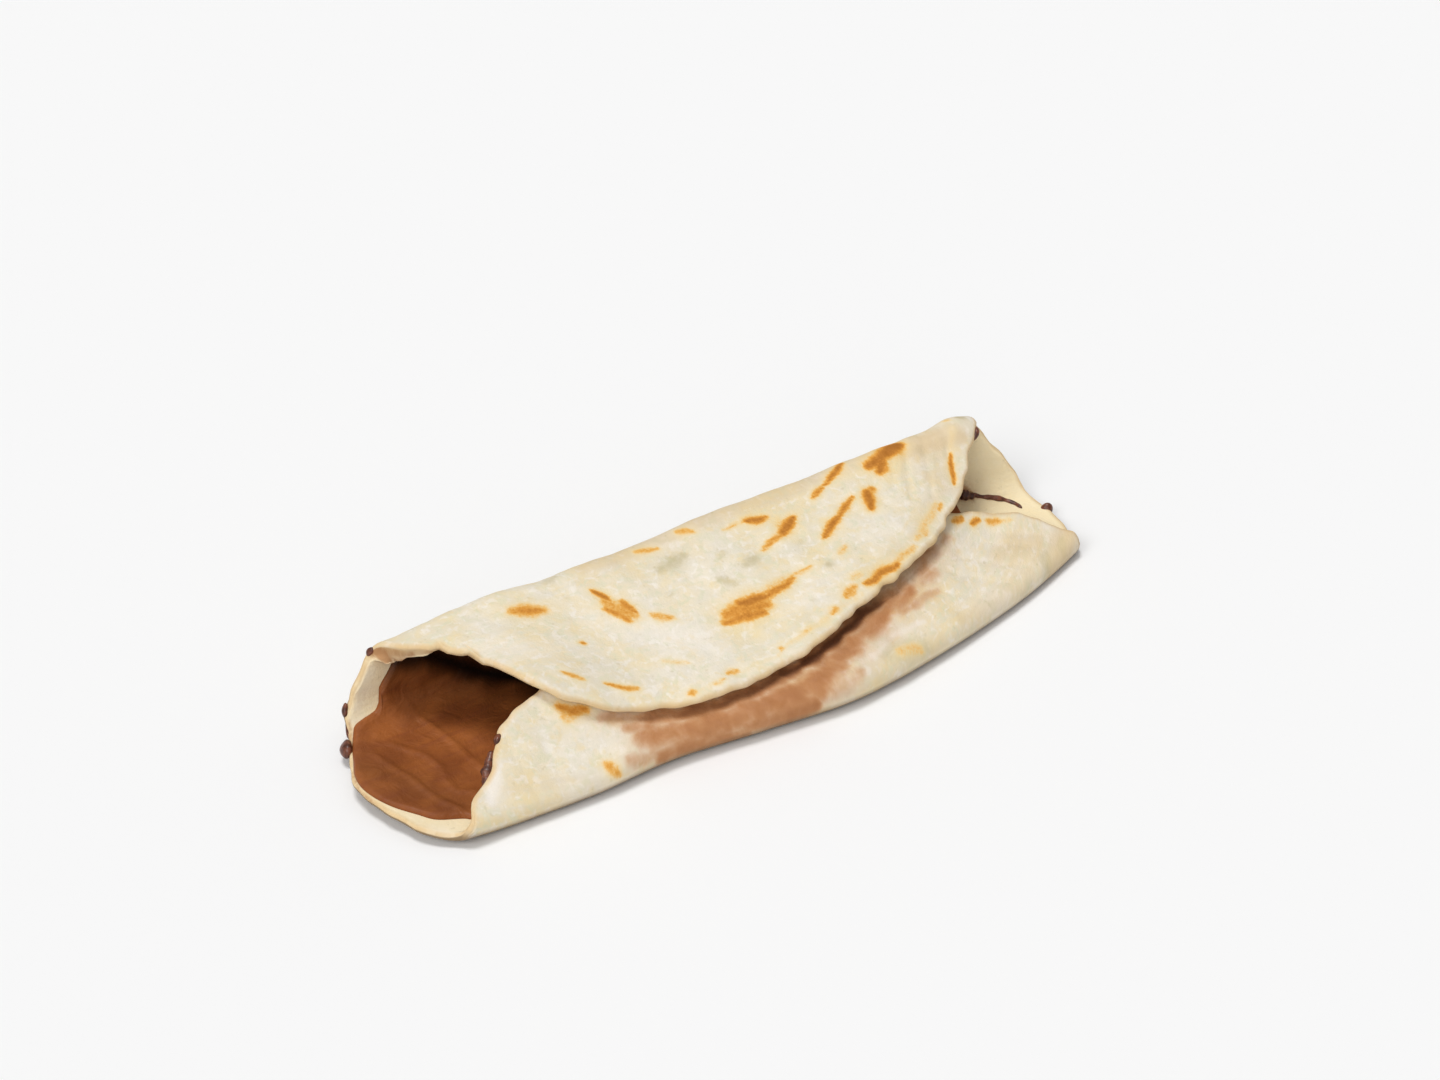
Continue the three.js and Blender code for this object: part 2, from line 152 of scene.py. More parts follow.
# ---------------------------------------------------------------- the chocolate's relief
SPREAD_GAP = 0.02
SPREAD_THICK = 1.3
SPREAD_HIDDEN = 0.7           # thickness between the two flaps
SPREAD_EDGE = 1.6             # width over which its edge rounds off
FOLD_SHARE = 0.4              # share of the front fold's inner radius that it fills
FOLD_LEAST = 0.45             # thickness that it keeps there at least
FOLD_FADE = 5                 # length beyond the front fold over which it reaches its full thickness
HIDDEN_FADE = 12              # length beyond the ridge over which it thins
SPREAD_WAVES = 0.14
SPREAD_WAVE_LENGTH = 16
SPREAD_SEED = 21
RIPPLE_HEIGHT = 0.5
RIPPLE_WIDTH = 0.9
RIPPLES = [
    [(-96.5, 25), (-91, 15.5), (-90, 8.5), (-91.5, 3.5), (-92, -2), (-87.5, -5)],
    [(-103, 22), (-99.5, 8), (-98, -2), (-95, -9)],
    [(-84, 30), (-82, 18), (-81, 6), (-80, -6)],
    [(-90, -13), (-82, -15), (-70, -15.5), (-55, -15.5)],
]
# dabs of chocolate on the rim: x, v, radius, half length along the rim, distance inside its edge
DABS = [
    (-105.9, 30, 1.7, 3.0, -0.5), (-103.9, 35.4, 0.6, 2.6, 0.3), (-102.5, 40.8, 0.9, 2.0, 0.1),
    (-94.8, 56, 0.7, 1.5, 0.3), (-81.6, -43.3, 1.1, 1.8, 0.4), (99.2, 62, 1.1, 2.2, -0.2),
    (112.8, 21.2, 1.7, 1.8, 0.2),
]
DAB_HEIGHT = 1.25             # their height, as a multiple of their radius
DAB_UNEVEN = (0.12, 0.10)     # their unevenness round and along, as shares of their radius
LUMP_SEED = 4
# beads of chocolate on the inner face: their radius, and the places (x, v) that they run through
BEADS = [
    (1.80, [(-90.2, -27.5), (-88.2, -31.5), (-85.4, -36.6), (-83.0, -40.5)]),
    (1.40, [(93, 36.2), (96, 33.6), (99.5, 32)]),
    (0.75, [(98, 33.6), (101, 31.6), (104.5, 30.2), (107.3, 28.4), (109, 26), (109.4, 23)]),
]
BEAD_HEIGHT = 0.75            # their height, as a multiple of their radius
BEAD_PROUD = 0.25             # how far their middles stand off the face, as a share of their radius
# their unevenness: share of the radius, and how fast it varies from end to end, in radians
BEAD_UNEVEN = [(0.16, 14), (0.10, 31)]

# ---------------------------------------------------------------- marks on the bread
PAINT_WARP = 0.25             # how far the strokes' edges wander
PAINT_WARP_LENGTH = 8.0       # over what length they do
PAINT_SEEDS = (31, 32)
STROKE_TAPER = 0.35           # share of its width that a stroke loses towards its ends
HALO_WIDTH = 2.3              # width of a stroke's soft surround, as a multiple of its own
HALO_STRENGTH = 0.50
RIM_TINT_START, RIM_TINT_END = 0.2, 1.7   # distance from the rim over which its darker tone fades
# painted shade where a face looks down: how far it looks down where the painted shade starts, and where it
# is darkest
UNDER_START, UNDER_END = 0.05, 0.70
FACE_OFFSET = 9.0             # keeps the patterns on the two faces of the sheet apart
# strokes: from (x, v) to (x, v), half width, strength. These are the griddle's golden brown spots.
BROWNED = [
    (-55.4, 67.4, -48.2, 69.6, 4.4, 0.66), (-53.5, 68.2, -48.4, 69.6, 2.8, 0.76),
    (-32.1, 68.8, -29.4, 72.4, 1.7, 0.88), (-32.4, 75.4, -28.4, 81.6, 2.1, 0.74),
    (-26.5, 75, -25.5, 79.5, 1.9, 0.76), (-31, 73.5, -26.5, 80.5, 4.0, 0.62),
    (-21.5, 83, -17.5, 85.6, 2.4, 0.58), (-45.4, 84.2, -44.4, 85, 1.2, 0.75),
    (-57.2, 94.6, -53.2, 98.6, 1.4, 0.60), (-47.5, 100.6, -39.6, 104.2, 1.3, 0.66),
    (-28, 98, -21.6, 101.2, 1.8, 0.40), (-13.5, 60.6, -7.3, 62.8, 1.4, 0.62),
    (0.6, 59.8, 4.6, 61.6, 1.9, 0.58), (13, 64.8, 19, 65.2, 1.5, 0.50), (20, 65.2, 26.2, 66.5, 1.9, 0.85),
    (18.8, 76, 26.5, 73.4, 1.5, 0.72), (27, 73, 33, 69.6, 2.4, 0.92), (2.5, 89.4, 9.5, 90.6, 2.6, 0.92),
    (-5, 92.8, 7, 95.2, 2.3, 0.80), (-3, 91, 9, 93, 4.6, 0.72), (8, 90, 22, 87.6, 3.2, 0.50),
    (9.5, 91, 20.6, 88.6, 2.0, 0.80), (20.6, 88, 28.2, 86.6, 1.5, 0.55), (4.2, 107.6, 4.8, 108, 2.0, 0.55),
    (-13.8, 109, -11, 109, 2.0, 0.58), (-27, 110.2, -25, 110.4, 2.0, 0.60),
    (-20, 110.4, -16, 110, 1.6, 0.45), (12, 106.5, 16, 105.4, 1.7, 0.45),
    (23.8, 103.6, 26, 102.6, 2.3, 0.56), (31, 99.6, 35, 98, 2.8, 0.62), (38.8, 98.2, 51.6, 94.6, 2.1, 0.84),
    (36, 95.4, 39, 94.4, 2.6, 0.45), (40.9, 84.3, 38, 85.6, 2.0, 0.52), (42.3, 65.4, 47, 63.2, 1.5, 0.76),
    (48, 62.8, 57.2, 58.4, 1.4, 0.88), (37.2, 79, 45, 74.4, 1.8, 0.90), (45, 74.4, 53, 69.4, 1.6, 0.80),
    (58.2, 69.8, 55.4, 74.4, 2.4, 0.90), (60, 69, 57, 71, 2.2, 0.70), (63, 62.2, 75.6, 58.6, 2.8, 0.92),
    (65, 64.6, 68, 62, 3.0, 0.88), (70, 60.5, 75, 58.5, 2.6, 1.00), (88.2, 66, 84.4, 74.4, 1.2, 0.84),
    (77.5, 79.6, 75, 81.6, 1.4, 0.60), (67, 86.4, 65.4, 88, 2.4, 0.50), (92, 57.4, 93, 57.8, 1.4, 0.45),
    (-62.0, -47.8, -55.0, -44.8, 2.8, 0.72), (-62, -45.4, -60, -44.4, 2.4, 0.50),
    (-56.4, -29.6, -53.6, -26.4, 2.8, 0.60), (36, -33, 43, -29.4, 2.4, 0.46),
    (81, -50.5, 84.7, -47.6, 1.4, 0.78), (86.5, -44.6, 89.6, -42, 1.5, 0.80),
    (92, -39.5, 96, -34.5, 1.6, 0.62), (96.5, -34, 99.5, -30, 1.5, 0.40), (60, 90.6, 56, 92.4, 1.6, 0.50),
    (98, -12, 103, -8, 3.6, 0.20), (104, -9, 107.5, -7, 3.0, 0.22), (-62, 103.5, -58, 106.5, 1.6, 0.40),
    (76, 79, 62, 89, 2.2, 0.46), (60, 91, 44, 98, 2.4, 0.50), (36, 101, 2, 109, 1.8, 0.34),
    (2, 109, -28, 111, 1.6, 0.26), (92, 60, 84, 72, 2.0, 0.30),
]
# dull greenish spots
OLIVE = [
    (-10.8, 69.2, -2.2, 68, 3.2, 0.75), (1.4, 79.7, 5, 83.2, 2.4, 0.60), (11.1, 78.9, 15, 77.9, 2.6, 0.75),
    (32.4, 88.3, 32.8, 88.6, 2.2, 0.80), (-13.4, 78.1, -12.6, 78.4, 1.8, 0.55),
    (-42, 60.4, -38, 59.4, 2.2, 0.55), (-40.5, 67.4, -39.6, 68, 1.8, 0.45),
    (-43.4, 74.8, -42, 75.4, 1.7, 0.45), (6.5, 73.3, 8.6, 71.6, 2.4, 0.45),
    (29.7, 78.2, 30.6, 77.6, 2.0, 0.45), (21.5, 97, 22, 97.2, 1.4, 0.55), (96, 57.6, 97.6, 57.8, 1.5, 0.75),
    (91, 59, 92, 59.4, 1.8, 0.40), (-58, 70, -57, 71, 2.0, 0.30), (94, -12, 98, -13, 3.8, 0.60),
    (104, -9, 106.4, -8, 3.2, 0.55), (84, -16, 88, -15, 3.4, 0.40), (80, 62, 86, 76, 3.0, 0.35),
    (31, -35.5, 45, -29, 4.2, 0.62),
]
# the places on the front flap right under the top flap's rim, how stained they are, and how strong the
# painted shade of the rim is there, with chocolate squeezed out under it
RIM_LINE = [
    (-60.8, -48.2), (-51.2, -41), (-41, -35.2), (-29.8, -33), (-18.2, -34), (-5.5, -36.8), (1.8, -39.8),
    (8.8, -42), (16.5, -45.2), (25.5, -47.8), (34.8, -49.2), (53, -48.8), (70.5, -48), (76.2, -48),
]
RIM_STAIN_WIDTH = 4.4
RIM_STAIN = [0.30, 0.55, 0.85, 0.95, 0.95, 0.95, 0.95, 1.0, 1.0, 1.0, 0.95, 0.80, 0.55]
# painted shade under the top flap's rim, mixed with chocolate squeezed out there
RIM_SHADE_AND_CHOCOLATE_WIDTH = 2.0
RIM_SHADE_AND_CHOCOLATE = [0.15, 0.30, 0.45, 0.50, 0.60, 0.75, 0.90, 1.0, 1.0, 1.0, 0.90, 0.60, 0.25]
# chocolate that shows through the front flap: its middle line, and what lies beside it
STAIN_LINE = [
    (-44, -30.5), (-30, -28.5), (-18, -29.5), (-5, -32), (4, -34), (12, -37), (20, -41), (30, -44.5),
    (42, -45.5), (53, -44.5), (64, -43.5), (75, -43.5),
]
STAIN_LINE_WIDTH = 6.2
STAIN_LINE_STRENGTH = [0.80, 0.90, 0.90, 0.92, 0.92, 0.90, 0.85, 0.85, 0.80, 0.55, 0.30]
STAIN = [
    (-52, -41.5, -40, -35, 3.0, 0.65), (-46.4, -35.6, -38.2, -31.4, 3.4, 0.75),
    (-50, -27.5, -38, -25, 3.2, 0.60), (-40, -24.5, -14, -25, 4.2, 0.85), (-14, -27, 6, -30, 4.6, 0.90),
    (47, -41, 60, -38.5, 3.2, 0.62), (6, -31, 22, -34.5, 4.0, 0.55),
]
# pale, floury patches
PALE = [
    (-105, 33, -99, 41, 5.0, 0.35), (-99, 41, -95, 51, 5.0, 0.35), (-85, -36, -90, -27, 3.0, 0.80),
    (26, -36.5, 34, -37, 1.8, 0.60), (38, -38, 49, -34, 2.0, 0.60), (-108, -12, -100, -19, 3.0, 0.60),
    (-40, 74, -10, 100, 9.0, 0.40), (-70, 76, -56, 86, 8.0, 0.40), (10, 98, 40, 90, 5.0, 0.35),
]
# broad tan areas; those on the front flap are partly painted shade, darkening the side that gets less light
TAN = [
    (72, 60, 92, 62, 7.0, 0.80), (78, 70, 88, 78, 5.5, 0.50), (-30, 60, 70, 59, 5.0, 0.62),
    (86, -30, 100, -18, 8.0, 0.60), (98, -10, 110, -6, 7.0, 0.90), (60, -26, 100, -14, 5.0, 0.50),
    (-85, -30, -60, -26, 6.0, 0.35), (-80, -22, -20, -22, 5.0, 0.40), (-20, -24, 50, -27, 6.0, 0.40),
    (-92, 40, -90, 56, 3.0, 0.30), (90, 42, 104, 30, 9.0, 0.40), (84, 50, 96, 56, 7.0, 0.55),
    (90, 62, 82, 74, 3.6, 0.50), (82, 74, 62, 88, 3.8, 0.50), (62, 88, 40, 97, 3.4, 0.42),
]
# thin smears of chocolate on the inner face
SMEAR = [
    (-93, 56, -90, 60, 2.2, 0.80), (-90, 60, -85.5, 65, 2.0, 0.60), (-90, 53, -85, 57, 2.4, 0.62),
    (-82.5, 68.4, -81, 70, 1.0, 0.50), (-106, 29, -103, 38, 1.2, 0.50), (98, 63, 100.5, 58, 0.9, 0.70),
    (92, 37, 98, 32.5, 3.4, 0.95), (-110.5, 20, -113.6, 12, 1.3, 0.50), (-113.6, 12, -113, 3, 1.3, 0.50),
]

# painted shade on the chocolate: deep in the roll, under the roof's near rim, and on the tongue
SHADE_START, SHADE_END = -66.0, -46.0
SHADE_FADE_START, SHADE_FADE_END = 66.0, 86.0     # it ends before the far end
SHADE_LINE = [(-92, 50), (-86, 51), (-78, 49), (-70, 43), (-62, 35), (-54, 30), (-44, 24)]
SHADE_LINE_WIDTH = 6.2
SHADE_LINE_STRENGTH = [0.75, 0.95, 1.0, 1.0, 1.0, 1.0]
SHADE = [
    (-108, 18, -102, 11, 7.5, 0.24), (-102, 11, -99, 0, 8.0, 0.24), (-99, 0, -94, -9, 7.0, 0.24),
]

# ---------------------------------------------------------------- colours, as they show on a screen
CREAM = "f1e7d4"
CREAM_WARM = "edd9ab"
CREAM_GREY = "e4ddcd"
CREAM_GREEN = "dedbbd"
CREAM_INSIDE = "fbe9bf"
CREAM_RIM = "dfbf8d"
FLOUR = "faf2e8"
TAN_TINT = "dcc298"
# painted shade under the front fold and the lifted ends
UNDERSIDE_SHADE = "7d654a"
BROWN_STEPS = [(0.0, "f4e4ba"), (0.30, "f3d08c"), (0.50, "eeb65c"), (0.74, "dc9438"), (1.0, "b37024")]
OLIVE_TINT = "bfb184"
STAIN_STEPS = [(0.0, "dfbd8f"), (0.35, "d09a68"), (0.70, "c08452"), (1.0, "aa6a38")]
# painted shade under the top flap's rim, with chocolate
SHADE_AND_CHOCOLATE = "5a3018"
SMEARED = "ad7645"
CHOCOLATE_IN_SHADE = "150903"
CHOCOLATE_LIGHT = "a4602f"
CHOCOLATE_DARK = "8c4e26"
CHOCOLATE_RED = "86482c"
DAB_LIGHT = "7a4630"
DAB_DARK = "4a2415"
TABLE = "f8f8f8"

# ---------------------------------------------------------------- camera and light
TABLE_SIZE = 24.0             # m
SKY = 0.33                    # brightness of the even light from all round
# softboxes: name, direction towards it, energy, width in degrees
SOFTBOXES = [
    ("softbox_above", (-0.10, 0.10, 1.0), 1.36, 20),
    ("softbox_left", (-0.80, -0.30, 0.72), 0.86, 32),
    ("softbox_front", (-0.50, -0.75, 0.50), 0.42, 45),
]
PHOTO_WIDTH, PHOTO_HEIGHT = 1440, 1080
FOCAL_PX = 4600.0
SENSOR = 36.0
AZIMUTH, ELEVATION = -32.8, 35.0
TARGET_PX = (789, 724)        # where the roll's own x = y = z = 0 shows in the photograph
PX_PER_MM = 3.745             # scale of the photograph there
DISTANCE = FOCAL_PX / PX_PER_MM


def colour(text):
    """Linear RGBA of a screen colour given as six hex digits."""
    values = [int(text[i:i + 2], 16) / 255 for i in (0, 2, 4)]
    return [c / 12.92 if c <= 0.04045 else ((c + 0.055) / 1.055) ** 2.4 for c in values] + [1.0]


def smoothstep(low, high, value):
    t = np.clip((value - low) / (high - low), 0, 1)
    return t * t * (3 - 2 * t)


def smooth(places, values, x):
    """Smooth curve through the given values, as a function of x."""
    places, values = np.asarray(places, float), np.asarray(values, float)
    last = len(places) - 1
    before = np.maximum(np.arange(last + 1) - 1, 0)
    after = np.minimum(np.arange(last + 1) + 1, last)
    slopes = (values[after] - values[before]) / (places[after] - places[before])
    at = np.clip(x, places[0], places[-1])
    k = np.clip(np.searchsorted(places, at, side="right") - 1, 0, last - 1)
    span = places[k + 1] - places[k]
    t = (at - places[k]) / span
    return (
        values[k] * (2 * t**3 - 3 * t**2 + 1)
        + slopes[k] * span * (t**3 - 2 * t**2 + t)
        + values[k + 1] * (3 * t**2 - 2 * t**3)
        + slopes[k + 1] * span * (t**3 - t**2)
    )


def lift(x):
    """How far the two ends of the roll curl up off the table."""
    near = np.maximum(0, (NEAR_LIFT_START - x) / (NEAR_LIFT_START - NEAR_LIFT_END))
    far = np.maximum(0, (x - FAR_LIFT_START) / (FAR_LIFT_END - FAR_LIFT_START))
    return NEAR_LIFT * near**2 + FAR_LIFT * far**2


def corners_and_radii(x):
    """Corners (y, z) of the cross-section at every x, from tucked end to free rim, and their radii."""
    at = {name: smooth(ALONG, values, x) for name, values in PROFILE.items()}
    half = np.full_like(x, DOUGH / 2)
    radius = at["front_radius"]
    knee = np.array([at["knee_y"], at["knee_z"]])
    ridge = np.array([at["ridge_y"], at["ridge_z"]])
    bend = np.array([at["bend_y"], half])
    # the front fold is a circle on the table, and the front wall is its tangent through the knee
    centre = np.array([at["front_y"] + FRONT_INSET * (radius + half), radius + half])
    to_knee = knee - centre
    slope = np.arctan2(to_knee[1], to_knee[0]) - np.arcsin(radius / np.hypot(*to_knee))
    front = np.array([centre[0] - radius / np.tan(slope / 2), half])
    roof_slope = np.arctan2(ridge[1] - knee[1], ridge[0] - knee[0])
    # the brow is where the top flap passes over the knee
    layer = DOUGH + at["gap"]
    middle = (slope + roof_slope) / 2 + np.pi / 2
    away = layer / np.cos((slope - roof_slope) / 2)
    brow = knee + away * np.array([np.cos(middle), np.sin(middle)])
    tucked = knee + HIDDEN_REACH * (ridge - brow)
    free = brow - FLAP_RUN * np.array([np.cos(slope), np.sin(slope)])
    radii = [at["knee_radius"] - layer, radius, at["bend_radius"], at["ridge_radius"], at["knee_radius"]]
    return [tucked, knee, front, bend, ridge, brow, free], radii


def fold_path(x):
    """Straight and curved pieces of the cross-section at every x, and the v where each starts and ends."""
    corners, radii = corners_and_radii(x)
    ways = [b - a for a, b in zip(corners, corners[1:])]
    headings = [np.arctan2(way[1], way[0]) for way in ways]
    pieces = []
    at = corners[0]
    for k, heading in enumerate(headings):
        ahead = np.array([np.cos(heading), np.sin(heading)])
        if k == len(radii):
            pieces.append((at, heading, np.hypot(*(corners[-1] - at)), 0 * x))
            break
        turn = headings[k + 1] - heading
        turn = np.arctan2(np.sin(turn), np.cos(turn))
        reach = np.abs(radii[k] * np.tan(turn / 2))
        length = np.maximum(0, np.hypot(*(corners[k + 1] - at)) - reach)
        pieces.append((at, heading, length, 0 * x))
        at = at + length * ahead
        curvature = np.sign(turn) / radii[k]
        pieces.append((at, heading, np.abs(turn) * radii[k], curvature))
        beyond = headings[k + 1]
        at = at + np.array([np.sin(beyond) - np.sin(heading), np.cos(heading) - np.cos(beyond)]) / curvature
    ends = np.cumsum([piece[2] for piece in pieces], axis=0)
    shift = RIDGE_V - (ends[6] + ends[7]) / 2
    starts = np.vstack([0 * x, ends[:-1]]) + shift
    return pieces, starts, ends[:-1] + shift


def on_bread(x, v):
    """Points on the middle of the bread at (x, v), and the direction of its outer face there."""
    shape = x.shape
    x, v = x.ravel(), v.ravel()
    pieces, starts, breaks = fold_path(x)
    index = (v[None] >= breaks).sum(0)
    y0, z0, heading, curvature, start = (
        np.choose(index, rows)
        for rows in (
            [piece[0][0] for piece in pieces],
            [piece[0][1] for piece in pieces],
            [piece[1] for piece in pieces],
            [piece[3] for piece in pieces],
            list(starts),
        )
    )
    s = v - start
    turned = heading + curvature * s
    straight = curvature == 0
    bent = np.where(straight, 1, curvature)
    y = y0 + np.where(straight, s * np.cos(heading), (np.sin(turned) - np.sin(heading)) / bent)
    z = z0 + np.where(straight, s * np.sin(heading), (np.cos(heading) - np.cos(turned)) / bent)
    points = np.stack([x, y, z + lift(x)], -1)
    outward = np.stack([0 * x, np.sin(turned), -np.cos(turned)], -1)
    return points.reshape(shape + (3,)), outward.reshape(shape + (3,))


def outline(radii, grow=0.0):
    """Closed smooth outline, as points (x, v), from radii by direction."""
    turns = [(direction + turn, radius + grow) for turn in (-360, 0, 360) for direction, radius in radii]
    direction = np.arange(OUTLINE_STEPS + 1) * 360 / OUTLINE_STEPS
    radius = smooth([d for d, _ in turns], [r for _, r in turns], direction)
    angle = np.radians(direction)
    return np.stack([radius * np.cos(angle), ROUND_V + radius * np.sin(angle)], -1)


def worn(edge):
    """The bread's outline with its small unevenness and nicks."""
    offset = edge - [0, ROUND_V]
    radius = np.hypot(offset[:, 0], offset[:, 1])
    angle = np.arctan2(offset[:, 1], offset[:, 0])
    rng = np.random.default_rng(WEAR_SEED)
    wear = 0 * radius
    counts = rng.integers(*WEAR_WAVES, WEAR_COUNT)
    for waves, phase in zip(counts, rng.uniform(0, 2 * np.pi, WEAR_COUNT)):
        wear = wear + RIM_WEAR / 2 * np.sin(waves * angle + phase)
    for direction, depth, width in NICKS:
        turn = (np.degrees(angle) - direction + 180) % 360 - 180
        wear = wear - depth * np.exp(-((turn / width) ** 2))
    return [0, ROUND_V] + offset * (1 + wear / radius)[:, None]


def span(edge, x):
    """Lowest and highest v of an outline at x."""
    a, b = edge[:-1], edge[1:]
    hit = ((a[:, 0] - x) * (b[:, 0] - x) <= 0) & (a[:, 0] != b[:, 0])
    a, b = a[hit], b[hit]
    v = a[:, 1] + (b[:, 1] - a[:, 1]) * (x - a[:, 0]) / (b[:, 0] - a[:, 0])
    return v.min(), v.max()


def line_distance(corners, x, v):
    """Distance from every (x, v) to the line through the given corners."""
    corners = np.asarray(corners, float)
    nearest = np.full(x.shape, np.inf)
    for (ax, av), (bx, bv) in zip(corners[:-1], corners[1:]):
        length2 = (bx - ax) ** 2 + (bv - av) ** 2
        t = np.clip(((x - ax) * (bx - ax) + (v - av) * (bv - av)) / max(length2, 1e-9), 0, 1)
        nearest = np.minimum(nearest, np.hypot(x - ax - t * (bx - ax), v - av - t * (bv - av)))
    return nearest


def places_inside(edge, station_count, row_counts):
    """Grid of places (x, v) that fills an outline: a column at each station, its rows set by the folds."""
    low, high = edge[:, 0].min(), edge[:, 0].max()
    ramp = TIP_RUN * (np.arange(TIP_STEPS) / TIP_STEPS) ** 2
    middle = np.linspace(low + TIP_RUN, high - TIP_RUN, station_count)
    x = np.concatenate([low + ramp, middle, high - ramp[::-1]])
    inside = np.clip(x, low + END_INSET, high - END_INSET)
    breaks = fold_path(inside)[2].T
    steps = (np.arange(RIM_ROWS) / RIM_ROWS) ** 2
    columns = []
    for at, ends in zip(inside, breaks):
        bottom, top = span(edge, at)
        rim = min(RIM_ROWS_WIDTH, RIM_ROWS_SHARE * (top - bottom))
        stops = np.concatenate([[bottom + rim], np.clip(ends, bottom + rim, top - rim), [top - rim]])
        rows = [np.linspace(a, b, n, endpoint=False) for a, b, n in zip(stops, stops[1:], row_counts)]
        columns.append(np.concatenate([bottom + rim * steps, *rows, [top - rim], top - rim * steps[::-1]]))
    v = np.array(columns)
    v[0], v[-1] = v[0].mean(), v[-1].mean()
    return np.repeat(x[:, None], v.shape[1], 1), v


def wave_field(x, v, wavelength, seed):
    """Gentle uneven waves of about unit height."""
    rng = np.random.default_rng(seed)
    field = 0 * x
    lowest, highest = [0, 0, WAVE_STRETCH[0]], [2 * np.pi, 2 * np.pi, WAVE_STRETCH[1]]
    for angle, phase, stretch in rng.uniform(lowest, highest, (WAVE_COUNT, 3)):
        k = 2 * np.pi / (wavelength * stretch)
        field = field + np.cos(k * (x * np.cos(angle) + v * np.sin(angle)) + phase)
    return field / math.sqrt(WAVE_COUNT)


def off_table(x, v):
    """0 where the bread lies on the table, rising to 1 away from it."""
    breaks = fold_path(x.ravel())[2]
    start, end = breaks[3].reshape(x.shape), breaks[4].reshape(x.shape)
    return smoothstep(0, TABLE_FADE, np.maximum(start - v, v - end))


def sag(x, v):
    """How far the sheet lies outside its smooth folds, from its waves and creases."""
    field = sum(height * wave_field(x, v, wavelength, seed) for wavelength, height, seed in WAVES)
    for ax, av, bx, bv, depth, width in CREASES:
        field = field - depth * np.exp(-((line_distance([(ax, av), (bx, bv)], x, v) / width) ** 2))
    return field * off_table(x, v)


def along(line, half_width, strengths):
    """Strokes between the places of a line, each with its own strength."""
    return [(*a, *b, half_width, strength) for a, b, strength in zip(line, line[1:], strengths)]


def paint(strokes, x, v):
    """Strength of the strokes at every (x, v). They narrow towards their ends and fade outwards."""
    at_x = x + PAINT_WARP * wave_field(x, v, PAINT_WARP_LENGTH, PAINT_SEEDS[0])
    at_v = v + PAINT_WARP * wave_field(x, v, PAINT_WARP_LENGTH, PAINT_SEEDS[1])
    field = 0 * x
    for ax, av, bx, bv, half_width, strength in strokes:
        length2 = (bx - ax) ** 2 + (bv - av) ** 2
        t = np.clip(((at_x - ax) * (bx - ax) + (at_v - av) * (bv - av)) / length2, 0, 1)
        away = np.hypot(at_x - ax - t * (bx - ax), at_v - av - t * (bv - av))
        width = half_width * (1 - STROKE_TAPER * (2 * t - 1) ** 2)
        core = np.exp(-((away / width) ** 2))
        halo = HALO_STRENGTH * np.exp(-((away / width / HALO_WIDTH) ** 2))
        field = np.maximum(field, strength * np.maximum(core, halo))
    return field


def new_object(name, points, faces):
    """A smooth object from points in the roll's millimetres."""
    points = (points - [MIDDLE[0], MIDDLE[1], 0]) * MM
    mesh = bpy.data.meshes.new(name)
    mesh.from_pydata(points.tolist(), [], faces)
    mesh.shade_smooth()
    obj = bpy.data.objects.new(name, mesh)
    bpy.context.scene.collection.objects.link(obj)
    return obj


BORDERS = (np.s_[0], np.s_[-1], np.s_[:, 0], np.s_[:, -1])   # the four sides of a grid


def closed_mesh(name, outer, inner):
    """Body between two grids of points that share their rim, and which of their points it keeps."""
    stations, rows = outer.shape[:2]
    count = stations * rows
    index = np.arange(count).reshape(stations, rows)
    index[0], index[-1] = index[0, 0], index[-1, 0]
    back = index + count
    for border in BORDERS:
        back[border] = index[border]
    quads = []
    for grid, flip in ((index, 1), (back, -1)):
        corners = [grid[:-1, :-1], grid[:-1, 1:], grid[1:, 1:], grid[1:, :-1]][::flip]
        quads.append(np.stack([corner.ravel() for corner in corners], -1))
    faces = []
    for quad in np.concatenate(quads).tolist():
        face = [k for n, k in enumerate(quad) if k != quad[n - 1]]
        if len(face) > 2:
            faces.append(face)
    used = np.unique(np.concatenate([np.array(face) for face in faces]))
    renumber = np.full(2 * count, -1)
    renumber[used] = np.arange(len(used))
    points = np.concatenate([outer.reshape(-1, 3), inner.reshape(-1, 3)])[used]
    return new_object(name, points, [renumber[face].tolist() for face in faces]), used


def add_attribute(obj, name, values):
    attribute = obj.data.attributes.new(name, "FLOAT", "POINT")
    attribute.data.foreach_set("value", np.asarray(values, np.float32))


def add_places(obj, x, v, side):
    """Keeps each vertex's place on the sheet, so that patterns in the material follow the folds."""
    attribute = obj.data.attributes.new("place", "FLOAT_VECTOR", "POINT")
    values = np.stack([x, v, FACE_OFFSET * side], -1).astype(np.float32)
    attribute.data.foreach_set("vector", values.ravel())


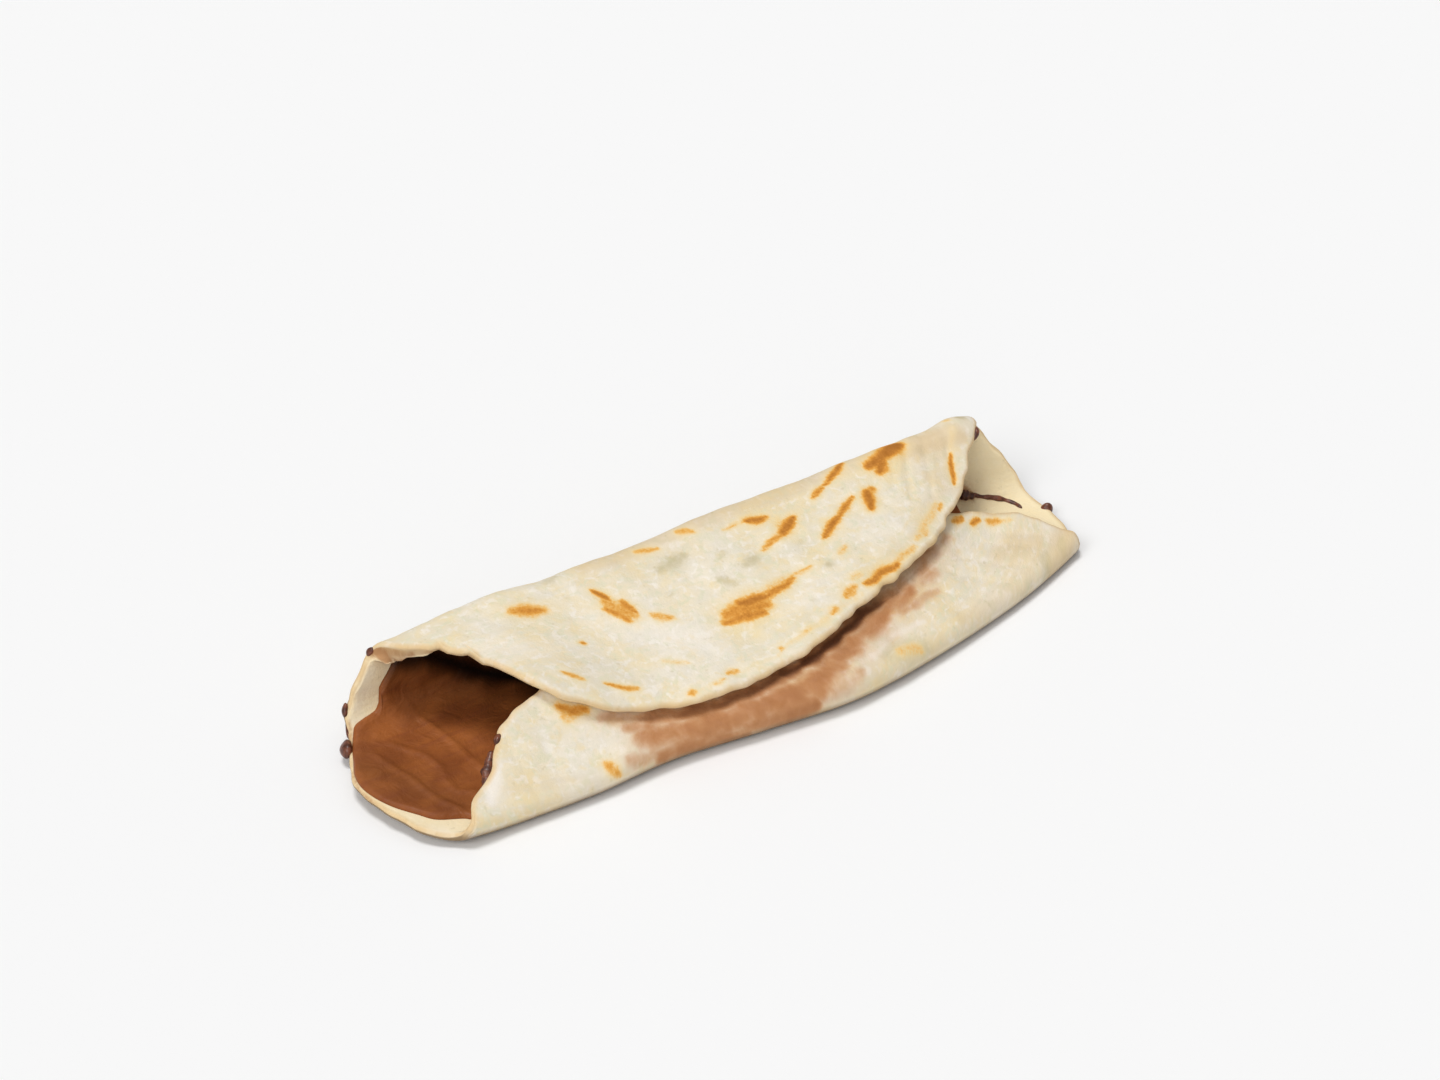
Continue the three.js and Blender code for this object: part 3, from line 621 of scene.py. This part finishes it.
def make_bread():
    edge = worn(outline(BREAD_RADII, RIM_BULGE))
    x, v = places_inside(edge, BREAD_STATIONS, BREAD_ROWS)
    points, outward = on_bread(x, v)
    rim = line_distance(edge, x, v)
    for border in BORDERS:
        rim[border] = 0
    half = DOUGH / 2 * np.sqrt(1 - (1 - np.minimum(rim / RIM_ROUND, 1)) ** 2)
    shift = sag(x, v)
    blisters = 0 * x
    for bx, bv, radius, height in BLISTERS:
        blisters = blisters + height * np.exp(-(((x - bx) ** 2 + (v - bv) ** 2) / radius**2))
    curl = 0 * x
    for ax, av, bx, bv, width, height in CURLS:
        curl = np.maximum(curl, height * np.exp(-((line_distance([(ax, av), (bx, bv)], x, v) / width) ** 2)))
    inside_rim = smoothstep(0, RELIEF_FADE, rim)
    outer = points + outward * (shift + half + blisters * inside_rim)[..., None]
    inner = points + outward * (shift - half - curl * inside_rim)[..., None]
    outer[..., 2] = np.maximum(outer[..., 2], 0)
    inner[..., 2] = np.maximum(inner[..., 2], 0)
    obj, used = closed_mesh("chapati_bread", outer, inner)
    x, v, rim = (np.concatenate([field.ravel(), field.ravel()])[used] for field in (x, v, rim))
    outside = (used < outer[..., 0].size).astype(float)
    add_places(obj, x, v, 2 * outside - 1)
    add_attribute(obj, "inside", 1 - outside)
    add_attribute(obj, "rim", 1 - smoothstep(RIM_TINT_START, RIM_TINT_END, rim))
    add_attribute(obj, "browned", paint(BROWNED, x, v) * outside)
    add_attribute(obj, "olive", paint(OLIVE, x, v) * outside)
    stain = STAIN + along(STAIN_LINE, STAIN_LINE_WIDTH, STAIN_LINE_STRENGTH)
    stain += along(RIM_LINE, RIM_STAIN_WIDTH, RIM_STAIN)
    add_attribute(obj, "stain", paint(stain, x, v) * outside)
    # painted shade and squeezed-out chocolate right under the top flap's rim
    add_attribute(obj, "dark", paint(along(RIM_LINE, RIM_SHADE_AND_CHOCOLATE_WIDTH, RIM_SHADE_AND_CHOCOLATE), x, v) * outside)
    add_attribute(obj, "pale", paint(PALE, x, v))
    add_attribute(obj, "smear", paint(SMEAR, x, v) * (1 - outside))
    add_attribute(obj, "tan", paint(TAN, x, v))
    # painted shade on the outer faces that look down, towards the table
    downward = -np.concatenate([outward[..., 2].ravel(), -outward[..., 2].ravel()])[used]
    add_attribute(obj, "under", smoothstep(UNDER_START, UNDER_END, downward) * outside)
    return obj


def spread_thickness(x, v, edge):
    breaks = fold_path(x.ravel())[2]
    fold, ridge = breaks[3].reshape(x.shape), breaks[6].reshape(x.shape)
    crest = 0 * x
    for ripple in RIPPLES:
        crest = np.maximum(crest, np.exp(-((line_distance(ripple, x, v) / RIPPLE_WIDTH) ** 2)))
    waves = SPREAD_WAVES * wave_field(x, v, SPREAD_WAVE_LENGTH, SPREAD_SEED)
    thick = SPREAD_THICK + waves + RIPPLE_HEIGHT * crest
    radius = smooth(ALONG, PROFILE["front_radius"], x) - DOUGH / 2
    limit = np.maximum(FOLD_LEAST, FOLD_SHARE * radius)
    near_fold = 1 - smoothstep(0, FOLD_FADE, v - fold)
    thick = thick + (np.minimum(thick, limit) - thick) * near_fold
    thick = thick + (SPREAD_HIDDEN - thick) * smoothstep(0, HIDDEN_FADE, v - ridge)
    away = line_distance(edge, x, v)
    for border in BORDERS:
        away[border] = 0
    return thick * np.sqrt(1 - (1 - np.minimum(away / SPREAD_EDGE, 1)) ** 2)


def make_spread():
    edge = outline(SPREAD_RADII)
    x, v = places_inside(edge, SPREAD_STATIONS, SPREAD_ROWS)
    points, outward = on_bread(x, v)
    thick = spread_thickness(x, v, edge)
    under = (sag(x, v) - DOUGH / 2 - SPREAD_GAP)[..., None]
    outer = points + outward * under
    inner = points + outward * (under - thick[..., None])
    obj, used = closed_mesh("chocolate_spread", outer, inner)
    x, v = (np.concatenate([field.ravel(), field.ravel()])[used] for field in (x, v))
    add_places(obj, x, v, 0 * x)
    # painted shade on the chocolate, deep in the roll and on the tongue
    shade = paint(SHADE + along(SHADE_LINE, SHADE_LINE_WIDTH, SHADE_LINE_STRENGTH), x, v)
    shade = np.maximum(smoothstep(SHADE_START, SHADE_END, x), shade)
    add_attribute(obj, "shade", shade * (1 - smoothstep(SHADE_FADE_START, SHADE_FADE_END, x)))
    return obj


def lump(centres, across, up, radii):
    """Points and faces of a closed body with a ring round each centre and a point at each end."""
    turn = 2 * np.pi * np.arange(LUMP_SECTORS) / LUMP_SECTORS
    ways = np.cos(turn)[None, :, None] * across[:, None] + np.sin(turn)[None, :, None] * up[:, None]
    rings = centres[:, None] + ways * radii[..., None]
    points = np.concatenate([centres[:1], rings[1:-1].reshape(-1, 3), centres[-1:]])
    last = len(points) - 1
    faces = []
    for j in range(LUMP_SECTORS):
        k = (j + 1) % LUMP_SECTORS
        faces.append((0, 1 + k, 1 + j))
        for i in range(len(centres) - 3):
            a = 1 + i * LUMP_SECTORS
            faces.append((a + j, a + k, a + LUMP_SECTORS + k, a + LUMP_SECTORS + j))
        a = 1 + (len(centres) - 3) * LUMP_SECTORS
        faces.append((a + j, a + k, last))
    return points, faces


def dab(x, v, radius, length, inset, edge, phases):
    """A rounded dab that lies along the bread's rim at (x, v)."""
    nearest = np.argmin(np.hypot(edge[:-1, 0] - x, edge[:-1, 1] - v))
    way = edge[(nearest + 2) % OUTLINE_STEPS] - edge[nearest - 2]
    way = way / np.hypot(*way)
    place = edge[nearest] + inset * np.array([-way[1], way[0]])
    ends = np.array([place, place + 0.5 * way])
    on, outward = on_bread(ends[:, 0], ends[:, 1])
    forward = (on[1] - on[0]) / np.linalg.norm(on[1] - on[0])
    across = np.cross(outward[0], forward)
    polar = np.pi * np.arange(DAB_RINGS) / (DAB_RINGS - 1)
    turn = 2 * np.pi * np.arange(LUMP_SECTORS) / LUMP_SECTORS
    uneven = DAB_UNEVEN[0] * np.sin(2 * turn + phases[0])
    uneven = uneven + DAB_UNEVEN[1] * np.sin(3 * polar[:, None] + phases[1] + turn)
    centres = on[0] - forward * length * np.cos(polar)[:, None]
    ones = np.ones((DAB_RINGS, 1))
    radii = radius * np.sin(polar)[:, None] * (1 + uneven)
    return lump(centres, ones * across, ones * outward[0] * DAB_HEIGHT, radii)


def bead(radius, corners, phases):
    """A thin bead of chocolate on the bread's inner face, through the given places."""
    corners = np.array(corners, float)
    reach = np.concatenate([[0], np.cumsum(np.hypot(*np.diff(corners, axis=0).T))])
    s = np.linspace(0, reach[-1], BEAD_RINGS)
    x, v = smooth(reach, corners[:, 0], s), smooth(reach, corners[:, 1], s)
    on, outward = on_bread(x, v)
    forward = np.gradient(on, axis=0)
    forward = forward / np.linalg.norm(forward, axis=1)[:, None]
    across = np.cross(outward, forward)
    t = s / reach[-1]
    size = radius * (1 - np.abs(2 * t - 1) ** 3) ** 0.5
    uneven = sum(share * np.sin(speed * t + phase) for (share, speed), phase in zip(BEAD_UNEVEN, phases))
    size = size * (1 + uneven)
    centres = on - outward * (DOUGH / 2 + BEAD_PROUD * size)[:, None]
    return lump(centres, across, BEAD_HEIGHT * outward, np.repeat(size[:, None], LUMP_SECTORS, 1))


def make_dabs():
    """The small dabs and beads of chocolate on the bread, as one piece."""
    rng = np.random.default_rng(LUMP_SEED)
    edge = outline(BREAD_RADII, RIM_BULGE)
    lumps = [dab(*place, edge, rng.uniform(0, 2 * np.pi, 2)) for place in DABS]
    lumps += [bead(radius, corners, rng.uniform(0, 2 * np.pi, 2)) for radius, corners in BEADS]
    points, faces = [], []
    for lump_points, lump_faces in lumps:
        faces += [tuple(k + len(points) for k in face) for face in lump_faces]
        points += lump_points.tolist()
    points = np.array(points)
    points[:, 2] = np.maximum(points[:, 2], LOWEST)
    return new_object("chocolate_dabs", points, faces)


# ---------------------------------------------------------------- materials
def new_material(name):
    material = bpy.data.materials.new(name)
    material.use_nodes = True
    return material, material.node_tree, material.node_tree.nodes["Principled BSDF"]


def node(tree, kind, sockets=None, **settings):
    """Adds a node: settings are its properties, sockets its inputs, each a value or another's output."""
    made = tree.nodes.new(kind)
    for key, value in settings.items():
        setattr(made, key, value)
    for key, value in (sockets or {}).items():
        if isinstance(value, bpy.types.NodeSocket):
            tree.links.new(value, made.inputs[key])
        else:
            made.inputs[key].default_value = value
    return made


def attribute(tree, name, output="Fac"):
    return node(tree, "ShaderNodeAttribute", attribute_name=name).outputs[output]


def noise(tree, place, scale, detail=4.0, roughness=0.55, distortion=0.0):
    sockets = {"Vector": place, "Scale": scale, "Detail": detail}
    sockets |= {"Roughness": roughness, "Distortion": distortion}
    return node(tree, "ShaderNodeTexNoise", sockets).outputs["Fac"]


def math_node(tree, operation, a, b=0.0):
    return node(tree, "ShaderNodeMath", {0: a, 1: b}, operation=operation).outputs[0]


def remap(tree, value, low, high, to_low=0.0, to_high=1.0):
    sockets = {"Value": value, "From Min": low, "From Max": high, "To Min": to_low, "To Max": to_high}
    return node(tree, "ShaderNodeMapRange", sockets, interpolation_type="SMOOTHSTEP").outputs["Result"]


def mix(tree, factor, a, b):
    """Mix of two colours: they go into the node's sockets 6 and 7, and its output 2 gives the result."""
    return node(tree, "ShaderNodeMix", {0: factor, 6: a, 7: b}, data_type="RGBA").outputs[2]


def ramp(tree, factor, steps):
    made = node(tree, "ShaderNodeValToRGB", {"Fac": factor})
    elements = made.color_ramp.elements
    while len(elements) < len(steps):
        elements.new(1.0)
    for element, (position, text) in zip(elements, steps):
        element.position = position
        element.color = colour(text)
    return made.outputs["Color"]


def with_noise(tree, field, grain, amount):
    """A painted field with its edge broken up by noise, still 0 where nothing is painted."""
    shaken = math_node(tree, "MULTIPLY", math_node(tree, "SUBTRACT", grain, 0.5), amount)
    present = remap(tree, field, 0.02, 0.60)
    return math_node(tree, "ADD", field, math_node(tree, "MULTIPLY", shaken, present))


def streaks(tree, place, turn, scale):
    """Noise drawn out along one direction across the sheet."""
    sockets = {"Vector": place, "Rotation": (0, 0, math.radians(turn)), "Scale": (0.10, 1.0, 1.0)}
    turned = node(tree, "ShaderNodeMapping", sockets).outputs["Vector"]
    return noise(tree, turned, scale, 4.0, 0.6)


def bread_material():
    material, tree, shader = new_material("griddled_bread")
    place = attribute(tree, "place", "Vector")
    broad = noise(tree, place, 0.05, 3.0)
    clouds = noise(tree, place, 0.12, 3.0, 0.5, 0.6)
    patchy = noise(tree, place, 0.27, 3.0, 0.5, 0.4)
    mottled = noise(tree, place, 0.36, 2.0, 0.5, 0.6)
    blotchy = noise(tree, place, 0.43, 2.0, 0.5, 0.6)
    grain = noise(tree, place, 0.85, 5.0, 0.6)
    fine = noise(tree, place, 2.4, 4.0, 0.6)
    pleats = streaks(tree, place, -68, 0.42)

    cream = mix(tree, remap(tree, broad, 0.34, 0.72), colour(CREAM), colour(CREAM_WARM))
    cream = mix(tree, remap(tree, clouds, 0.42, 0.70, 0.0, 0.55), cream, colour(CREAM_GREY))
    cream = mix(tree, remap(tree, patchy, 0.50, 0.72, 0.0, 0.65), cream, colour(CREAM_WARM))
    cream = mix(tree, remap(tree, mottled, 0.48, 0.70, 0.0, 0.60), cream, colour(CREAM_GREEN))
    cream = mix(tree, remap(tree, blotchy, 0.50, 0.72, 0.0, 0.60), cream, colour(FLOUR))
    cream = mix(tree, remap(tree, pleats, 0.45, 0.72, 0.0, 0.45), cream, colour(CREAM_GREY))
    cream = mix(tree, remap(tree, grain, 0.50, 0.78, 0.0, 0.30), cream, colour(CREAM_GREY))
    inside = math_node(tree, "MULTIPLY", attribute(tree, "inside"), 0.8)
    cream = mix(tree, inside, cream, colour(CREAM_INSIDE))
    # tan tint, partly painted shade on the front flap
    tan = with_noise(tree, attribute(tree, "tan"), pleats, 0.5)
    cream = mix(tree, remap(tree, tan, 0.05, 1.0, 0.0, 0.85), cream, colour(TAN_TINT))

    olive = with_noise(tree, attribute(tree, "olive"), grain, 0.5)
    cream = mix(tree, remap(tree, olive, 0.10, 0.90, 0.0, 0.70), cream, colour(OLIVE_TINT))
    specks = remap(tree, noise(tree, place, 0.60, 2.0, 0.4), 0.66, 0.80, 0.0, 0.30)
    cream = mix(tree, specks, cream, colour(OLIVE_TINT))
    pale = with_noise(tree, attribute(tree, "pale"), patchy, 0.4)
    cream = mix(tree, remap(tree, pale, 0.05, 0.90, 0.0, 0.85), cream, colour(FLOUR))

    rim = math_node(tree, "MULTIPLY", attribute(tree, "rim"), remap(tree, patchy, 0.25, 0.60, 0.50, 0.90))
    cream = mix(tree, rim, cream, colour(CREAM_RIM))

    stain = with_noise(tree, attribute(tree, "stain"), patchy, 0.35)
    stain = with_noise(tree, stain, clouds, 0.45)
    stained = ramp(tree, remap(tree, stain, 0.10, 1.15), STAIN_STEPS)
    cream = mix(tree, remap(tree, stain, 0.04, 0.86, 0.0, 0.95), cream, stained)
    # painted shade and squeezed-out chocolate under the top flap's rim
    dark = with_noise(tree, attribute(tree, "dark"), patchy, 0.3)
    cream = mix(tree, remap(tree, dark, 0.15, 1.0, 0.0, 0.90), cream, colour(SHADE_AND_CHOCOLATE))

    browned = with_noise(tree, attribute(tree, "browned"), grain, 0.45)
    browned = with_noise(tree, browned, fine, 0.25)
    toasted = ramp(tree, remap(tree, browned, 0.04, 1.02), BROWN_STEPS)
    cream = mix(tree, remap(tree, browned, 0.03, 0.62), cream, toasted)

    smear = with_noise(tree, attribute(tree, "smear"), grain, 0.6)
    cream = mix(tree, remap(tree, smear, 0.20, 0.80, 0.0, 0.85), cream, colour(SMEARED))
    # painted shade on faces that look down
    under = math_node(tree, "MULTIPLY", attribute(tree, "under"), 0.85)
    cream = mix(tree, under, cream, colour(UNDERSIDE_SHADE))
    tree.links.new(cream, shader.inputs["Base Color"])

    rough = remap(tree, grain, 0.3, 0.7, 0.62, 0.82)
    tree.links.new(rough, shader.inputs["Roughness"])
    shader.inputs["Specular IOR Level"].default_value = 0.3
    height = math_node(tree, "ADD", grain, math_node(tree, "MULTIPLY", fine, 0.35))
    height = math_node(tree, "ADD", height, math_node(tree, "MULTIPLY", pleats, 0.8))
    bump = node(tree, "ShaderNodeBump", {"Height": height, "Strength": 0.5, "Distance": 0.00035})
    tree.links.new(bump.outputs["Normal"], shader.inputs["Normal"])
    return material


def chocolate_material():
    material, tree, shader = new_material("chocolate_cream")
    place = attribute(tree, "place", "Vector")
    broad = noise(tree, place, 0.07, 3.0)
    swirl = noise(tree, place, 0.16, 3.0, 0.5, 1.8)
    licks = streaks(tree, place, 62, 0.30)
    fine = noise(tree, place, 1.6, 3.0)
    tone = mix(tree, remap(tree, broad, 0.35, 0.65), colour(CHOCOLATE_LIGHT), colour(CHOCOLATE_DARK))
    tone = mix(tree, remap(tree, licks, 0.45, 0.70, 0.0, 0.40), tone, colour(CHOCOLATE_RED))
    # painted shade deep in the roll and on the tongue
    tone = mix(tree, attribute(tree, "shade"), tone, colour(CHOCOLATE_IN_SHADE))
    tree.links.new(tone, shader.inputs["Base Color"])
    tree.links.new(remap(tree, swirl, 0.3, 0.7, 0.42, 0.56), shader.inputs["Roughness"])
    shader.inputs["Specular IOR Level"].default_value = 0.2
    height = math_node(tree, "ADD", swirl, math_node(tree, "MULTIPLY", licks, 0.7))
    height = math_node(tree, "ADD", height, math_node(tree, "MULTIPLY", fine, 0.05))
    bump = node(tree, "ShaderNodeBump", {"Height": height, "Strength": 0.4, "Distance": 0.001})
    tree.links.new(bump.outputs["Normal"], shader.inputs["Normal"])
    return material


def dab_material():
    material, tree, shader = new_material("chocolate_dab")
    place = node(tree, "ShaderNodeTexCoord").outputs["Object"]
    lumps = noise(tree, place, 500.0, 2.0)
    tone = mix(tree, remap(tree, lumps, 0.35, 0.65), colour(DAB_LIGHT), colour(DAB_DARK))
    tree.links.new(tone, shader.inputs["Base Color"])
    tree.links.new(remap(tree, lumps, 0.3, 0.7, 0.30, 0.40), shader.inputs["Roughness"])
    bump = node(tree, "ShaderNodeBump", {"Height": lumps, "Strength": 0.3, "Distance": 0.0003})
    tree.links.new(bump.outputs["Normal"], shader.inputs["Normal"])
    return material


def table_material():
    material, _, shader = new_material("white_table")
    shader.inputs["Base Color"].default_value = colour(TABLE)
    shader.inputs["Roughness"].default_value = 0.9
    shader.inputs["Specular IOR Level"].default_value = 0.0
    return material


# ---------------------------------------------------------------- stage
def make_table():
    half = TABLE_SIZE / 2
    mesh = bpy.data.meshes.new("table")
    corners = [(-half, -half, 0), (half, -half, 0), (half, half, 0), (-half, half, 0)]
    mesh.from_pydata(corners, [], [(0, 1, 2, 3)])
    obj = bpy.data.objects.new("table", mesh)
    bpy.context.scene.collection.objects.link(obj)
    obj.data.materials.append(table_material())


def make_light():
    world = bpy.data.worlds.new("studio")
    world.use_nodes = True
    background = world.node_tree.nodes["Background"]
    background.inputs["Color"].default_value = (1.0, 1.0, 1.0, 1.0)
    background.inputs["Strength"].default_value = SKY
    bpy.context.scene.world = world
    for name, towards, energy, angle in SOFTBOXES:
        light = bpy.data.lights.new(name, "SUN")
        light.energy = energy
        light.angle = math.radians(angle)
        lamp = bpy.data.objects.new(name, light)
        bpy.context.scene.collection.objects.link(lamp)
        lamp.rotation_mode = "QUATERNION"
        lamp.rotation_quaternion = Vector(towards).to_track_quat("Z", "Y")


def make_camera():
    a, e = math.radians(AZIMUTH), math.radians(ELEVATION)
    back = Vector((math.sin(a) * math.cos(e), -math.cos(a) * math.cos(e), math.sin(e)))
    right = Vector((math.cos(a), math.sin(a), 0))
    up = back.cross(right)
    dx = (TARGET_PX[0] - PHOTO_WIDTH / 2) / FOCAL_PX * DISTANCE
    dy = -(TARGET_PX[1] - PHOTO_HEIGHT / 2) / FOCAL_PX * DISTANCE
    target = Vector((-MIDDLE[0], -MIDDLE[1], 0))
    place = (target + back * DISTANCE - right * dx - up * dy) * MM
    data = bpy.data.cameras.new("camera")
    data.sensor_width = SENSOR
    data.lens = FOCAL_PX / PHOTO_WIDTH * SENSOR
    data.clip_start = 0.05
    camera = bpy.data.objects.new("camera", data)
    bpy.context.scene.collection.objects.link(camera)
    camera.matrix_world = Matrix((
        (right.x, up.x, back.x, place.x),
        (right.y, up.y, back.y, place.y),
        (right.z, up.z, back.z, place.z),
        (0, 0, 0, 1),
    ))
    bpy.context.scene.camera = camera


def dress(obj, material, slot_name, *nodes):
    obj.data.materials.append(material)
    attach(obj, "root")
    if nodes:
        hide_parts(*nodes)


bpy.context.scene.view_settings.view_transform = "Standard"
dress(make_bread(), bread_material(), "bread", "chapati")
dress(make_spread(), chocolate_material(), "chocolate", "chocolate")
dress(make_dabs(), dab_material(), "chocolate", "chapati")
make_table()
make_light()
make_camera()
